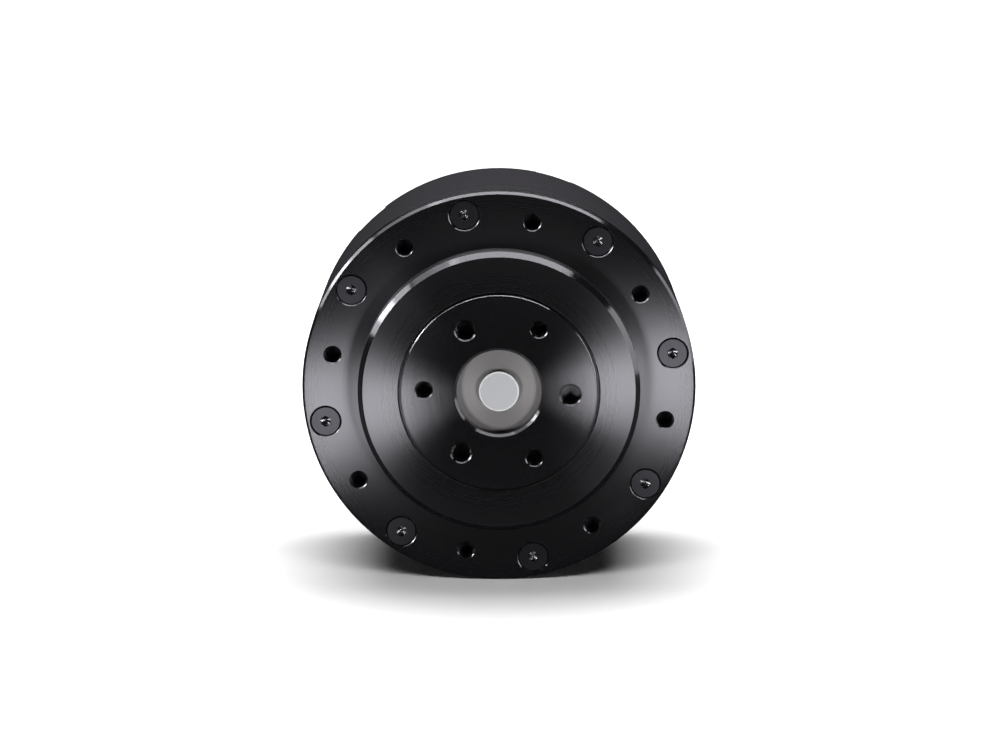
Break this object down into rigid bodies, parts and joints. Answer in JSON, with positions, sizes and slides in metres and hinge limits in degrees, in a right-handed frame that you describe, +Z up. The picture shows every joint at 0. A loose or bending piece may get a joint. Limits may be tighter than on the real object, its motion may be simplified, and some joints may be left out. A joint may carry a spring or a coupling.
{
  "type": "robot joint actuator",
  "caption": "Round motor actuator for a robot joint, with a turning output disc in a raised boss and a bolt-on flange.",
  "frame": {"origin": "centre of the flange's mounting face, on the axis of rotation", "axes": "-Y along the output axis, out of the output disc; +Z up; +X to the right as seen from the output side"},
  "size_m": [0.079, 0.0543, 0.079],
  "materials": {
    "anodised_black": "satin",
    "screw_black": "satin",
    "rubber": "matte",
    "bearing_steel": "polished",
    "turned_steel": "satin",
    "gear_steel": "satin",
    "bronze": "satin",
    "cage_plastic": "matte",
    "lamination_steel": "matte",
    "copper_enamel": "gloss",
    "plain_aluminium": "satin",
    "magnet_nickel": "satin",
    "board_green": "satin",
    "component_black": "matte",
    "standoff_brass": "satin",
    "connector_amber": "satin",
    "connector_ivory": "satin"
  },
  "bodies": {
    "housing": {"front_flange": "anodised_black", "flange_screws": "screw_black", "ring_gear": "anodised_black", "motor_barrel": "anodised_black", "rear_cover": "anodised_black", "cover_screws": "screw_black", "output_seal": "rubber", "bearing_outer_ring": "bearing_steel", "bearing_clamp_ring": "turned_steel", "stator_core": "lamination_steel", "windings": "copper_enamel", "phase_leads": "copper_enamel", "motor_end_plate": "plain_aluminium", "end_plate_circlip": "turned_steel", "rotor_bearing_outer_rings": "bearing_steel", "driver_board": "board_green", "board_parts": "component_black", "board_standoffs": "standoff_brass", "board_screws": "screw_black", "power_connector": "connector_amber", "signal_sockets": "connector_ivory"},
    "output": {"output_disc": "anodised_black", "hub_cap": "turned_steel", "encoder_rod": "bearing_steel", "rod_magnet": "magnet_nickel", "bearing_inner_ring": "bearing_steel", "planet_carrier": "turned_steel", "carrier_rear_plate": "turned_steel", "carrier_screws": "screw_black", "planet_pins": "gear_steel"},
    "rotor": {"sun_gear": "gear_steel", "rotor_shaft": "gear_steel", "rotor_hub": "plain_aluminium", "rotor_back_iron": "turned_steel", "rotor_magnets": "magnet_nickel", "rotor_bearing_inner_rings": "bearing_steel", "rotor_magnet_ring": "magnet_nickel"},
    "roller_set": {"bearing_rollers": "bearing_steel", "bearing_cage": "cage_plastic"},
    "planet_1": {"planet_gear_1": "gear_steel", "planet_bush_1": "bronze"},
    "planet_2": {"planet_gear_2": "gear_steel", "planet_bush_2": "bronze"},
    "planet_3": {"planet_gear_3": "gear_steel", "planet_bush_3": "bronze"}
  },
  "joints": [
    {"name": "output_spin", "type": "hinge", "parent": "housing", "child": "output", "pos_m": [0, 0, 0], "axis": [0, -1, 0], "continuous": true},
    {"name": "rotor_spin", "type": "hinge", "parent": "housing", "child": "rotor", "pos_m": [0, 0, 0], "axis": [0, -1, 0], "continuous": true},
    {"name": "roller_set_spin", "type": "hinge", "parent": "housing", "child": "roller_set", "pos_m": [0, 0, 0], "axis": [0, -1, 0], "continuous": true},
    {"name": "planet_1_spin", "type": "hinge", "parent": "output", "child": "planet_1", "pos_m": [0, 0, 0.0168], "axis": [0, -1, 0], "continuous": true},
    {"name": "planet_2_spin", "type": "hinge", "parent": "output", "child": "planet_2", "pos_m": [-0.01455, 0, -0.0084], "axis": [0, -1, 0], "continuous": true},
    {"name": "planet_3_spin", "type": "hinge", "parent": "output", "child": "planet_3", "pos_m": [0.01455, 0, -0.0084], "axis": [0, -1, 0], "continuous": true}
  ],
  "couplings": [
    {"joint": "rotor_spin", "follows": "output_spin", "ratio": 6},
    {"joint": "roller_set_spin", "follows": "output_spin", "ratio": 0.4764},
    {"joint": "planet_1_spin", "follows": "output_spin", "ratio": -2.5},
    {"joint": "planet_2_spin", "follows": "output_spin", "ratio": -2.5},
    {"joint": "planet_3_spin", "follows": "output_spin", "ratio": -2.5}
  ]
}
